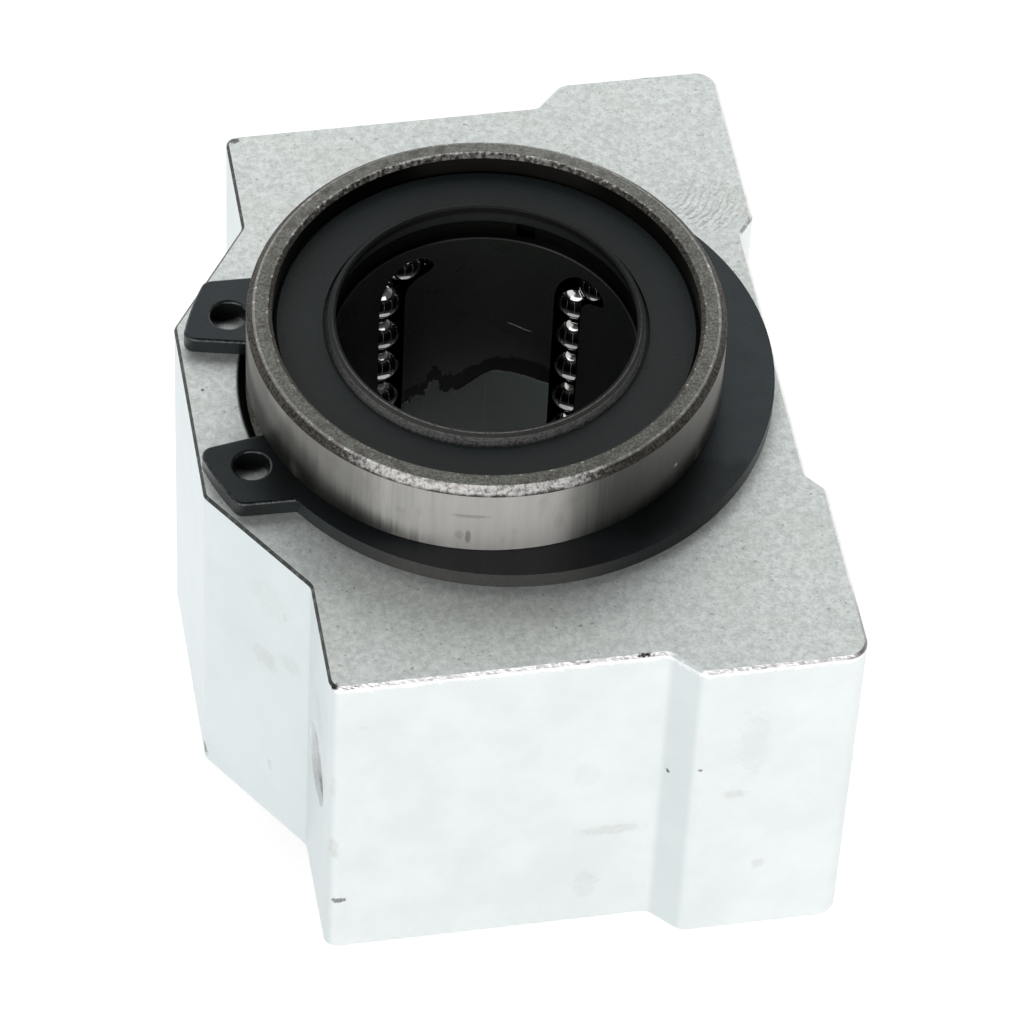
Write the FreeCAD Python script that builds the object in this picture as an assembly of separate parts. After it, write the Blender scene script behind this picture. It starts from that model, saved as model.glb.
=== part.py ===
import FreeCAD, Part
import math
import os

# Linear bearing block: an aluminium block that carries a linear ball bushing.
# Millimetres. The origin is the middle of the bushing, on the shaft's axis.
# +Z is the shaft's axis, +X points out of the mounting face, +Y is across the block.

# ---- shaft and balls -------------------------------------------------------
shaft_dia = 20.0
shaft_clearance = 0.01          # gap between the shaft and the loaded balls, per side
ball_dia = 3.175
circuit_count = 5
first_circuit_angle = 46.0      # loaded lane of the first circuit, from +X about +Z
lane_angle = 23.0               # from a loaded lane to its return lane, about the axis
return_lift = 0.9               # how much further out the return lane lies
row_gap = 0.02                  # between neighbours in a straight row
turn_gap = 0.03                 # between neighbours in a turn
lead_ball_drop = 0.35           # first ball of a row, before the turn begins
raceway_clearance = 0.04        # between loaded balls and the sleeve's raceway

# ---- ball cage -------------------------------------------------------------
cage_bore_clearance = 0.25      # between the shaft and the cage
cage_sleeve_clearance = 0.12    # between the cage and the raceway bore
track_play = 0.19               # round a ball in its track in the cage
cage_end_wall = 0.5             # beyond the track's turn
cage_lead_in = 0.3

# ---- sleeve ----------------------------------------------------------------
sleeve_end_wall = 1.725         # outside the end bores; makes the sleeve 32 across
sleeve_length = 42.0
sleeve_end_chamfer = 0.5
sleeve_mouth_chamfer = 0.27
return_groove_play = 0.15       # round a ball in the sleeve's return groove
raceway_run_on = 0.05           # raceway beyond the start of the ball's turn
circlip_groove_depth = 0.75
circlip_groove_run = 0.35       # how far the groove reaches under the block

# ---- end rings and seals ---------------------------------------------------
ring_fit = 0.02                 # between a ring or seal and the sleeve's end bore
end_ring_thickness = 1.18
end_ring_bore_dia = 21.1
end_ring_notch_width = 1.3
end_ring_notch_depth = 0.7
end_ring_notch_angle = 65.5
seal_recess = 1.4               # seal's flat face below the sleeve's end
seal_thickness = 1.1
seal_edge_round = 0.3
seal_groove_outer_dia = 21.8
seal_groove_depth = 0.3
seal_lip_outer_dia = 21.14
seal_lip_clearance = 0.05       # between the shaft and the lip's tip
seal_lip_rise = 0.8             # lip's tip above the seal's flat face
seal_lip_land = 0.6             # length of the lip's tip along the shaft
seal_lip_bevel = 0.28

# ---- circlips --------------------------------------------------------------
circlip_thickness = 1.2
circlip_fit = 0.01              # between the circlip and the groove's floor
circlip_play = 0.05             # between the circlip and the groove's outer wall
circlip_stand_out = 2.25        # outer circle's radius beyond the sleeve's
circlip_offset = 1.3            # outer circle's centre from the shaft's axis
circlip_edge_round = 0.2        # rolled edge of the stamped outer face
upper_circlip_direction = 178.7     # the gap, from +X about +Z
lower_circlip_direction = 0.0
circlip_gap_half = 4.2          # half the gap at the sleeve
circlip_gap_spread = 10.8       # angle of the gap's side to its middle line
lug_length = 4.45               # beyond the sleeve
lug_corner_round = 0.8
lug_hole_dia = 2.4
lug_hole_inset = 2.62           # hole's centre from the lug's end
lug_hole_angle = 22.3           # from the gap's middle line
lug_side_wall = 2.15            # beside the hole, at the lug's far side

# ---- block -----------------------------------------------------------------
block_length = 28.0
hole_side_wall = 2.4            # mounting hole to the body's side
flange_overhang = 2.0           # flange beyond the body, each side
block_height = 41.0
shaft_height = 21.0             # shaft's axis to the mounting face
block_bore_clearance = 0.01     # between the block's bore and the sleeve
block_bore_chamfer = 0.5
flange_depth = 11.0             # mounting face to the side step
step_round = 1.0
flange_corner_round = 1.5
wing_back = 14.15               # shaft's axis to the back of the wings
wing_corner_round = 0.9
back_foot_width = 32.4
back_top_width = 15.2
back_round = 0.8
recess_depth = 1.1
recess_width = 25.0
recess_side_run = 1.4
recess_round = 0.5
edge_break = 0.2

# ---- mounting holes --------------------------------------------------------
hole_to_sleeve = 1.4            # metal between a hole and the sleeve
mounting_hole_dia = 5.2         # tapped M6 for 12 mm from the mounting face
hole_mouth_chamfer = 0.3

# ---- sizes that follow -----------------------------------------------------
shaft_radius = shaft_dia / 2
ball_radius = ball_dia / 2
loaded_radius = shaft_radius + shaft_clearance + ball_radius
return_radius = loaded_radius + return_lift
track_radius = ball_radius + track_play
raceway_radius = loaded_radius + ball_radius + raceway_clearance
cage_bore_radius = shaft_radius + cage_bore_clearance
cage_radius = raceway_radius - cage_sleeve_clearance
end_bore_radius = return_radius + track_radius
sleeve_radius = end_bore_radius + sleeve_end_wall
groove_floor_radius = sleeve_radius - circlip_groove_depth
lug_reach = sleeve_radius + lug_length
lug_hole_radius = lug_reach - lug_hole_inset

lane_turn = math.radians(lane_angle)
lane_spacing = math.sqrt(
    loaded_radius ** 2 + return_radius ** 2
    - 2 * loaded_radius * return_radius * math.cos(lane_turn))
turn_radius = lane_spacing / 2
turn_step = 2 * math.asin((ball_dia + turn_gap) / (2 * turn_radius))
sleeve_half = sleeve_length / 2
block_half = block_length / 2
seal_face = sleeve_half - seal_recess
seal_back = seal_face - seal_thickness
cage_half = seal_back - end_ring_thickness
turn_height = cage_half - cage_end_wall - track_radius - turn_radius
# Along the track: a row's lead ball, two balls in the turn, then the other row's
# last ball, which stays at least this far below the turn.
least_tail_drop = 3 * turn_step * turn_radius - lead_ball_drop - math.pi * turn_radius
row_pitch = ball_dia + row_gap
row_room = 2 * turn_height - lead_ball_drop - least_tail_drop
balls_per_row = 1 + int(row_room / row_pitch)
hole_spacing = 2 * sleeve_radius + 2 * hole_to_sleeve + mounting_hole_dia
body_width = hole_spacing + mounting_hole_dia + 2 * hole_side_wall
block_width = body_width + 2 * flange_overhang

X_AXIS = FreeCAD.Vector(1, 0, 0)
Z_AXIS = FreeCAD.Vector(0, 0, 1)
ORIGIN = FreeCAD.Vector(0, 0, 0)


def polar(radius, degrees, z=0.0):
    """A point at a radius and an angle about the shaft's axis."""
    angle = math.radians(degrees)
    return FreeCAD.Vector(radius * math.cos(angle), radius * math.sin(angle), z)


def reach_of(point):
    """How far a point lies from the shaft's axis."""
    return math.hypot(point.x, point.y)


def rounded_face(corners):
    """A flat face in the XY plane from (x, y, corner radius) in order."""
    edges = []
    starts = []
    ends = []
    arcs = []
    count = len(corners)
    for index in range(count):
        before = corners[index - 1]
        here = corners[index]
        after = corners[(index + 1) % count]
        corner = FreeCAD.Vector(here[0], here[1], 0)
        to_before = (FreeCAD.Vector(before[0], before[1], 0) - corner).normalize()
        to_after = (FreeCAD.Vector(after[0], after[1], 0) - corner).normalize()
        half = to_before.getAngle(to_after) / 2
        run = here[2] / math.tan(half)
        start = corner + to_before * run
        end = corner + to_after * run
        middle_line = (to_before + to_after).normalize()
        middle = corner + middle_line * (here[2] / math.sin(half) - here[2])
        starts.append(start)
        ends.append(end)
        arcs.append(Part.Arc(start, middle, end).toShape())
    for index in range(count):
        edges.append(arcs[index])
        edges.append(Part.LineSegment(ends[index], starts[(index + 1) % count]).toShape())
    return Part.Face(Part.Wire(edges))


def turned(profile):
    """A solid of revolution about the shaft's axis from (radius, z) points."""
    points = [FreeCAD.Vector(radius, 0, z) for radius, z in profile]
    face = Part.Face(Part.makePolygon(points + [points[0]]))
    return face.revolve(ORIGIN, Z_AXIS, 360)


def mirrored_end(shape):
    """The same piece at the lower end."""
    return shape.mirror(ORIGIN, Z_AXIS)


def save(shape, node):
    """Write one sub-part."""
    shape.exportStep("parts/" + node + ".step")


# ---- block -----------------------------------------------------------------
def block_outline():
    """The block's extruded outline."""
    half_width = block_width / 2
    half_body = body_width / 2
    step = half_width - half_body
    step_x = shaft_height - flange_depth
    back_x = shaft_height - block_height
    floor_x = shaft_height - recess_depth
    side = [
        (floor_x, recess_width / 2 - recess_side_run, recess_round),
        (shaft_height, recess_width / 2, recess_round),
        (shaft_height, half_width, flange_corner_round),
        (step_x, half_width, step_round),
        (step_x - step, half_body, step_round),
        (-wing_back, half_body, wing_corner_round),
        (-wing_back, back_foot_width / 2, back_round),
        (back_x, back_top_width / 2, back_round),
    ]
    other_side = [(x, -y, radius) for x, y, radius in reversed(side)]
    return rounded_face(side + other_side)


def make_block():
    """Block with its bore, recess and mounting holes."""
    block = block_outline().extrude(FreeCAD.Vector(0, 0, block_length))
    block.translate(FreeCAD.Vector(0, 0, -block_half))
    end_edges = []
    for edge in block.Edges:
        box = edge.BoundBox
        if box.ZLength < 1e-6 and abs(abs(box.ZMin) - block_half) < 1e-6:
            end_edges.append(edge)
    block = block.makeChamfer(edge_break, end_edges)
    bore_radius = sleeve_radius + block_bore_clearance
    mouth_radius = bore_radius + block_bore_chamfer
    bore = turned([
        (0, -block_half),
        (mouth_radius, -block_half),
        (bore_radius, -block_half + block_bore_chamfer),
        (bore_radius, block_half - block_bore_chamfer),
        (mouth_radius, block_half),
        (0, block_half),
    ])
    return block.cut([bore] + [mounting_hole(side) for side in (-1, 1)])


def mounting_hole(side):
    """Straight through the wing, countersunk at both mouths."""
    radius = mounting_hole_dia / 2
    mouth_radius = radius + hole_mouth_chamfer
    centre = FreeCAD.Vector(shaft_height, side * hole_spacing / 2, 0)
    back = FreeCAD.Vector(-wing_back, side * hole_spacing / 2, 0)
    through = Part.makeCylinder(radius, shaft_height + wing_back, centre, -X_AXIS)
    mouths = []
    for point, inward in ((centre, -X_AXIS), (back, X_AXIS)):
        mouths.append(Part.makeCone(
            mouth_radius, radius, hole_mouth_chamfer, point, inward))
    return through.fuse(mouths)


# ---- sleeve ----------------------------------------------------------------
def make_sleeve():
    """Hardened sleeve: raceway bore, return grooves and circlip grooves."""
    raceway_half = turn_height + raceway_run_on
    taper_end = raceway_half + end_bore_radius - raceway_radius
    groove_out = block_half + circlip_thickness + circlip_play
    groove_in = block_half - circlip_groove_run
    upper = [
        (raceway_radius, raceway_half),
        (end_bore_radius, taper_end),
        (end_bore_radius, sleeve_half - sleeve_mouth_chamfer),
        (end_bore_radius + sleeve_mouth_chamfer, sleeve_half),
        (sleeve_radius - sleeve_end_chamfer, sleeve_half),
        (sleeve_radius, sleeve_half - sleeve_end_chamfer),
        (sleeve_radius, groove_out),
        (groove_floor_radius, groove_out),
        (groove_floor_radius, groove_in),
        (sleeve_radius, groove_in),
    ]
    lower = [(radius, -z) for radius, z in reversed(upper)]
    sleeve = turned(upper + lower)
    grooves = []
    for index in range(circuit_count):
        centre = polar(return_radius, return_lane_angle(index), -taper_end)
        grooves.append(Part.makeCylinder(
            ball_radius + return_groove_play, 2 * taper_end, centre, Z_AXIS))
    return sleeve.cut(grooves)


# ---- ball circuits ---------------------------------------------------------
def loaded_lane_angle(index):
    """Angle of a circuit's loaded lane about the shaft."""
    return first_circuit_angle + index * 360.0 / circuit_count


def return_lane_angle(index):
    """Angle of a circuit's return lane about the shaft."""
    return loaded_lane_angle(index) - lane_angle


def circuit_frame(index):
    """Centre of a circuit's flat loop, and the direction from lane to lane."""
    loaded = polar(loaded_radius, loaded_lane_angle(index))
    back = polar(return_radius, return_lane_angle(index))
    return (loaded + back) * 0.5, (back - loaded).normalize()


def make_track(index):
    """The closed tube that a circuit's balls run in."""
    centre, across = circuit_frame(index)
    bend = Part.makeTorus(turn_radius, track_radius, ORIGIN, Z_AXIS, -180, 180, 180)
    lanes = []
    turns = []
    for side in (-1, 1):
        foot = centre + across * (side * turn_radius) - Z_AXIS * turn_height
        lanes.append(Part.makeCylinder(track_radius, 2 * turn_height, foot, Z_AXIS))
        turn = bend.copy()
        turn.Placement = FreeCAD.Placement(
            centre + Z_AXIS * (side * turn_height),
            FreeCAD.Rotation(across * side, Z_AXIS * side, across.cross(Z_AXIS), "XYZ"))
        turns.append(turn)
    return lanes[0].fuse([lanes[1]] + turns)


def make_ball(centre):
    """One ball."""
    ball = Part.makeSphere(ball_radius)
    ball.translate(centre)
    return ball


def make_rows(index):
    """The two straight rows of a circuit: under load, and returning."""
    centre, across = circuit_frame(index)
    rows = []
    for side in (-1, 1):
        lead = side * (lead_ball_drop - turn_height)
        balls = []
        for place in range(balls_per_row):
            height = lead + side * place * row_pitch
            balls.append(make_ball(
                centre + across * (side * turn_radius) + Z_AXIS * height))
        rows.append(Part.makeCompound(balls))
    return rows


def make_turn_pairs(index):
    """The balls inside the upper and the lower turn of a circuit."""
    centre, across = circuit_frame(index)
    first = turn_step - lead_ball_drop / turn_radius
    pairs = []
    for side in (-1, 1):
        balls = []
        for angle in (first, first + turn_step):
            sideways = across * (side * turn_radius * math.cos(angle))
            upward = Z_AXIS * (turn_height + turn_radius * math.sin(angle))
            balls.append(make_ball(centre + sideways - upward * side))
        pairs.append(Part.makeCompound(balls))
    return pairs


# ---- cage ------------------------------------------------------------------
def make_cage():
    """Moulded cage: a tube with one closed track for each circuit."""
    bevel = cage_lead_in
    cage = turned([
        (cage_bore_radius, -cage_half + bevel),
        (cage_bore_radius + bevel, -cage_half),
        (cage_radius - bevel, -cage_half),
        (cage_radius, -cage_half + bevel),
        (cage_radius, cage_half - bevel),
        (cage_radius - bevel, cage_half),
        (cage_bore_radius + bevel, cage_half),
        (cage_bore_radius, cage_half - bevel),
    ])
    return cage.cut([make_track(index) for index in range(circuit_count)])


# ---- end rings, seals and circlips -----------------------------------------
def make_end_ring():
    """Steel ring between the cage and the seal, with a small notch."""
    inner = end_ring_bore_dia / 2
    outer = end_bore_radius - ring_fit
    foot = FreeCAD.Vector(0, 0, cage_half)
    ring = Part.makeCylinder(outer, end_ring_thickness, foot)
    bore = Part.makeCylinder(inner, end_ring_thickness, foot)
    notch = Part.makeBox(
        inner + end_ring_notch_depth, end_ring_notch_width, end_ring_thickness,
        foot - FreeCAD.Vector(0, end_ring_notch_width / 2, 0))
    notch.rotate(ORIGIN, Z_AXIS, end_ring_notch_angle)
    return ring.cut([bore, notch])


def make_seal():
    """Rubber seal: flat face, a groove, and a lip that reaches the shaft."""
    outer = end_bore_radius - ring_fit
    tip = shaft_radius + seal_lip_clearance
    lip_outer = seal_lip_outer_dia / 2
    lip_top = seal_face + seal_lip_rise
    lip_shoulder = lip_top - seal_lip_bevel
    groove_outer = seal_groove_outer_dia / 2
    return turned([
        (end_ring_bore_dia / 2, seal_back),
        (outer, seal_back),
        (outer, seal_face - seal_edge_round),
        (outer - seal_edge_round, seal_face),
        (groove_outer, seal_face),
        (groove_outer, seal_face - seal_groove_depth),
        (lip_outer, seal_face - seal_groove_depth),
        (lip_outer, lip_shoulder),
        (tip + seal_lip_bevel / 2, lip_top),
        (tip, lip_top - seal_lip_bevel / 2),
        (tip, lip_top - seal_lip_land),
    ])


def flat_plate(points):
    """A plate of the circlip's thickness from (x, y) corners."""
    corners = [FreeCAD.Vector(x, y, block_half) for x, y in points]
    face = Part.Face(Part.makePolygon(corners + [corners[0]]))
    return face.extrude(FreeCAD.Vector(0, 0, circlip_thickness))


def flat_disc(radius, centre):
    """A disc of the circlip's thickness."""
    return Part.makeCylinder(radius, circlip_thickness, centre)


def make_circlip(direction):
    """External circlip at the upper end, with two eyed lugs beside its gap."""
    middle = FreeCAD.Vector(0, 0, block_half)
    outer = flat_disc(
        sleeve_radius + circlip_stand_out, middle - X_AXIS * circlip_offset)
    hole_side = lug_hole_radius * math.sin(math.radians(lug_hole_angle))
    lug_side = hole_side + lug_hole_dia / 2 + lug_side_wall
    root = math.sqrt(groove_floor_radius ** 2 - lug_side ** 2)
    lugs = flat_plate([
        (root, -lug_side), (lug_reach, -lug_side), (lug_reach, lug_side), (root, lug_side)])
    spread = math.tan(math.radians(circlip_gap_spread))
    gap_tip = sleeve_radius - circlip_gap_half / spread
    gap_half = (lug_reach - gap_tip) * spread
    gap = flat_plate([(gap_tip, 0), (lug_reach, -gap_half), (lug_reach, gap_half)])
    holes = []
    for side in (-1, 1):
        holes.append(flat_disc(
            lug_hole_dia / 2, polar(lug_hole_radius, side * lug_hole_angle, block_half)))
    seat = flat_disc(groove_floor_radius + circlip_fit, middle)
    ring = outer.fuse(lugs.common(flat_disc(lug_reach, middle)))
    ring = ring.cut([gap, seat] + holes)
    corners = [
        edge for edge in ring.Edges
        if edge.BoundBox.ZLength > circlip_thickness / 2
        and reach_of(edge.CenterOfMass) > lug_reach - circlip_fit]
    ring = ring.makeFillet(lug_corner_round, corners)
    outer_face_height = block_half + circlip_thickness
    rolled = [
        edge for edge in ring.Edges
        if edge.BoundBox.ZMin > outer_face_height - circlip_fit
        and reach_of(edge.CenterOfMass) > sleeve_radius]
    ring = ring.makeFillet(circlip_edge_round, rolled)
    ring.rotate(ORIGIN, Z_AXIS, direction)
    return ring


# ---- the assembly ----------------------------------------------------------
os.makedirs("parts", exist_ok=True)
save(make_block(), "housing")
save(make_sleeve(), "bearing_sleeve")
save(make_cage(), "ball_cage")

for piece, name in ((make_end_ring(), "end_ring"), (make_seal(), "seal")):
    save(piece, "upper_" + name)
    save(mirrored_end(piece), "lower_" + name)
save(make_circlip(upper_circlip_direction), "upper_circlip")
save(mirrored_end(make_circlip(lower_circlip_direction)), "lower_circlip")

for circuit in range(circuit_count):
    label = "circuit_" + str(circuit + 1)
    loaded_row, return_row = make_rows(circuit)
    upper_pair, lower_pair = make_turn_pairs(circuit)
    save(loaded_row, label + "_loaded_balls")
    save(return_row, label + "_return_balls")
    save(upper_pair, label + "_upper_turn_balls")
    save(lower_pair, label + "_lower_turn_balls")

print("turn radius", round(turn_radius, 4), "turn height", round(turn_height, 4))
print("sleeve radius", round(sleeve_radius, 4), "balls in a row", balls_per_row)
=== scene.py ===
import math

import bpy
from mathutils import Euler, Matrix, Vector


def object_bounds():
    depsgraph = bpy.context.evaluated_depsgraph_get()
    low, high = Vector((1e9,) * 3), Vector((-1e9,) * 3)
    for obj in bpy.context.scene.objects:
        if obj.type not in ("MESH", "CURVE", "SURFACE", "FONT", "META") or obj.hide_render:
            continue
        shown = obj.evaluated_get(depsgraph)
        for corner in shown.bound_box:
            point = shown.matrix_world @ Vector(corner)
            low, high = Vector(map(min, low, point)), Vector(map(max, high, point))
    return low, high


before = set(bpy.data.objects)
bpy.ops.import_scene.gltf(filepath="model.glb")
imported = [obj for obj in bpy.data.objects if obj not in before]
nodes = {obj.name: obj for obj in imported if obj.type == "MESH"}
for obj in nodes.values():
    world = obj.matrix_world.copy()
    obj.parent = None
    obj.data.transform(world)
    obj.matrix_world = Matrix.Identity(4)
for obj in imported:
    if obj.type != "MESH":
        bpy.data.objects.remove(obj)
cad_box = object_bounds()

MM = 0.001
DEGREES = 180.0 / math.pi


def reach_of(name, axis):
    """How far a node reaches along one axis of the row frame, in millimetres."""
    return max(corner[axis] for corner in nodes[name].bound_box) / MM


# ---- sizes that marks and wear are placed by, in millimetres -----------------
X_AXIS, Y_AXIS, Z_AXIS = 0, 1, 2
END_FACE = reach_of("housing", Z_AXIS)
FLANGE_SIDE = reach_of("housing", Y_AXIS)
FLANGE_OVERHANG = 2.0
BODY_SIDE = FLANGE_SIDE - FLANGE_OVERHANG
WING_BACK = -14.15          # x of the faces where the mounting holes come out, by the lugs
HOLE_AXIS_Y = 20.0
HOLE_RADIUS = 2.6
THREAD_PITCH = 1.0
THREAD_START = 9.0          # x where the thread starts; it runs on to the mounting face
SLEEVE_END = reach_of("bearing_sleeve", Z_AXIS)
SLEEVE_RADIUS = reach_of("bearing_sleeve", X_AXIS)
SLEEVE_END_WALL = 1.725
SLEEVE_MOUTH_RADIUS = SLEEVE_RADIUS - SLEEVE_END_WALL
CAGE_BORE_RADIUS = 10.25
LIP_RADIUS = 10.57          # outside of the seal's lip
CIRCLIP_LEVEL = END_FACE + 1.0      # just under the upper circlip's outer face

# ---- camera: above the front left corner of the block, a long lens -----------
CAMERA_AT = Vector((-51.88, -252.62, 300.48)) * MM
CAMERA_TURN = Euler([math.radians(angle) for angle in (40.651, -2.118, -9.674)])
CAMERA_LENS = 201.39
CAMERA_SENSOR = 36.0
CAMERA_CLIP = (0.01, 10.0)


def add_camera():
    data = bpy.data.cameras.new("camera")
    data.lens = CAMERA_LENS
    data.sensor_width = CAMERA_SENSOR
    data.clip_start, data.clip_end = CAMERA_CLIP
    camera = bpy.data.objects.new("camera", data)
    camera.location = CAMERA_AT
    camera.rotation_euler = CAMERA_TURN
    bpy.context.scene.collection.objects.link(camera)
    bpy.context.scene.camera = camera


# ---- node helpers --------------------------------------------------------------
class Graph:
    """A node tree, with short calls for the nodes used here.

    In the materials, g is the graph and p the position in the row frame. A mask is a
    number from 0 to 1.
    """

    def __init__(self, tree):
        self.tree = tree
        self.tree.nodes.clear()

    def add(self, kind, **settings):
        node = self.tree.nodes.new(kind)
        for key, value in settings.items():
            setattr(node, key, value)
        return node

    def put(self, socket, value):
        """Links a socket's source, or sets a plain value."""
        if isinstance(value, bpy.types.NodeSocket):
            self.tree.links.new(value, socket)
        elif isinstance(value, tuple) and len(value) == 3 and len(socket.default_value) == 4:
            socket.default_value = (*value, 1.0)
        else:
            socket.default_value = value

    # places and directions
    def place(self):
        """Position in the row frame, in millimetres."""
        coordinates = self.add("ShaderNodeTexCoord").outputs["Object"]
        scale = self.add("ShaderNodeVectorMath", operation="SCALE")
        self.put(scale.inputs[0], coordinates)
        self.put(scale.inputs["Scale"], 1.0 / MM)
        return scale.outputs[0]

    def parts(self, vector):
        node = self.add("ShaderNodeSeparateXYZ")
        self.put(node.inputs[0], vector)
        return node.outputs[0], node.outputs[1], node.outputs[2]

    def join(self, x, y, z):
        node = self.add("ShaderNodeCombineXYZ")
        for socket, value in zip(node.inputs, (x, y, z)):
            self.put(socket, value)
        return node.outputs[0]

    def normal(self):
        return self.parts(self.add("ShaderNodeTexCoord").outputs["Normal"])

    def uprightness(self):
        """1 on faces square to the shaft, 0 on walls along it."""
        return self.size(self.normal()[Z_AXIS])

    def stretch(self, vector, factors):
        node = self.add("ShaderNodeVectorMath", operation="MULTIPLY")
        self.put(node.inputs[0], vector)
        self.put(node.inputs[1], factors)
        return node.outputs[0]

    def facing(self, vector, towards):
        node = self.add("ShaderNodeVectorMath", operation="DOT_PRODUCT")
        self.put(node.inputs[0], vector)
        self.put(node.inputs[1], towards)
        return node.outputs["Value"]

    def span(self, *values):
        """Length of the vector with these parts."""
        total = self.times(values[0], values[0])
        for value in values[1:]:
            total = self.plus(total, self.times(value, value))
        return self.math("SQRT", total)

    def bearing(self, aside, ahead):
        """Angle of a direction from straight ahead, in degrees."""
        return self.times(self.math("ARCTAN2", aside, ahead), DEGREES)

    # numbers
    def math(self, operation, a, b=0.0, clamp=False):
        node = self.add("ShaderNodeMath", operation=operation, use_clamp=clamp)
        self.put(node.inputs[0], a)
        self.put(node.inputs[1], b)
        return node.outputs[0]

    def plus(self, a, b):
        return self.math("ADD", a, b)

    def minus(self, a, b):
        return self.math("SUBTRACT", a, b)

    def times(self, *values):
        total = values[0]
        for value in values[1:]:
            total = self.math("MULTIPLY", total, value)
        return total

    def size(self, a):
        return self.math("ABSOLUTE", a)

    def either(self, *masks):
        """The strongest of several masks."""
        total = masks[0]
        for mask in masks[1:]:
            total = self.math("MAXIMUM", total, mask)
        return total

    def step(self, value, start, end):
        """0 at start, 1 at end, smooth between; start may exceed end."""
        node = self.add("ShaderNodeMapRange", interpolation_type="SMOOTHSTEP")
        self.put(node.inputs["Value"], value)
        self.put(node.inputs["From Min"], start)
        self.put(node.inputs["From Max"], end)
        return node.outputs["Result"]

    def band(self, value, low, high, soft):
        """1 between low and high, falling off over soft on each side."""
        rise = self.step(value, low - soft, low)
        fall = self.step(value, high + soft, high)
        return self.times(rise, fall)

    def level(self, mask, low, high):
        """Spreads a mask between two numbers."""
        node = self.add("ShaderNodeMapRange")
        self.put(node.inputs["Value"], mask)
        self.put(node.inputs["To Min"], low)
        self.put(node.inputs["To Max"], high)
        return node.outputs["Result"]

    # patterns
    def noise(self, vector, scale, detail=3.0, roughness=0.55, distortion=0.0):
        node = self.add("ShaderNodeTexNoise")
        self.put(node.inputs["Vector"], vector)
        self.put(node.inputs["Scale"], scale)
        self.put(node.inputs["Detail"], detail)
        self.put(node.inputs["Roughness"], roughness)
        self.put(node.inputs["Distortion"], distortion)
        return node.outputs["Fac"]

    def patch(self, vector, centre, reach, ragged, strength=1.0):
        """A soft spot round a centre with a ragged rim; reach is one radius per axis."""
        away = self.add("ShaderNodeVectorMath", operation="SUBTRACT")
        self.put(away.inputs[0], vector)
        self.put(away.inputs[1], centre)
        scaled = self.add("ShaderNodeVectorMath", operation="DIVIDE")
        self.put(scaled.inputs[0], away.outputs[0])
        self.put(scaled.inputs[1], reach)
        length = self.add("ShaderNodeVectorMath", operation="LENGTH")
        self.put(length.inputs[0], scaled.outputs[0])
        rim = self.plus(length.outputs["Value"], self.level(ragged, 0.9, -0.9))
        return self.times(self.step(rim, 1.2, 0.6), strength)

    def patches(self, vector, spots, ragged):
        """The strongest of several patches, each given as centre, reach, strength."""
        return self.either(*[
            self.patch(vector, centre, reach, ragged, strength)
            for centre, reach, strength in spots])

    # colours and shading
    def mix(self, mask, a, b):
        """Goes from colour a to colour b as the mask goes from 0 to 1."""
        node = self.add("ShaderNodeMix", data_type="RGBA")
        self.put(node.inputs["Factor"], mask)
        self.put(node.inputs["A"], a)
        self.put(node.inputs["B"], b)
        return node.outputs["Result"]

    def bump(self, height, distance, normal=None):
        node = self.add("ShaderNodeBump")
        self.put(node.inputs["Height"], height)
        self.put(node.inputs["Distance"], distance)
        if normal is not None:
            self.put(node.inputs["Normal"], normal)
        return node.outputs[0]

    def principled(self, **values):
        shader = self.add("ShaderNodeBsdfPrincipled")
        names = {
            "color": "Base Color", "metallic": "Metallic", "roughness": "Roughness",
            "normal": "Normal", "specular": "Specular IOR Level",
            "anisotropy": "Anisotropic", "grain_turn": "Anisotropic Rotation",
            "tangent": "Tangent"}
        for key, value in values.items():
            self.put(shader.inputs[names[key]], value)
        return shader.outputs[0]


def start_material(name):
    material = bpy.data.materials.new(name)
    material.use_nodes = True
    return material, Graph(material.node_tree)


def end_material(g, surface):
    output = g.add("ShaderNodeOutputMaterial")
    g.put(output.inputs["Surface"], surface)


# ---- the block -----------------------------------------------------------------
SAND_DARK = (0.61, 0.65, 0.63)
SAND_LIGHT = (0.835, 0.88, 0.86)
SAND_SPECK = (0.16, 0.16, 0.14)
SAND_PIT = (0.22, 0.22, 0.20)
SAND_STAIN = (0.62, 0.58, 0.50)
SIDE_DARK = (0.785, 0.833, 0.828)
SIDE_LIGHT = (0.85, 0.892, 0.892)
# Painted shade on the faces towards the lugs.
LUG_SIDE_SHADE_DARK = (0.64, 0.70, 0.71)
LUG_SIDE_SHADE_LIGHT = (0.73, 0.785, 0.795)
SMUDGE_COLOR = (0.40, 0.39, 0.34)
# Rolled edges: lighter as a painted highlight, darker as painted shade towards the lugs.
ROLLED_HIGHLIGHT_COLOR = (0.97, 0.965, 0.97)
ROLLED_SHADE_COLOR = (0.70, 0.75, 0.76)
# A filed burr on the front edge, painted white as a painted highlight.
BURR_HIGHLIGHT_COLOR = (0.98, 0.965, 0.975)
# Painted shade along the edges towards the lugs.
EDGE_SHADE_COLOR = (0.09, 0.095, 0.09)
NICK_COLOR = (0.035, 0.035, 0.03)
# Painted shade round the sleeve, in the bore's mouth.
BORE_SHADE_COLOR = (0.020, 0.021, 0.020)

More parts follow.
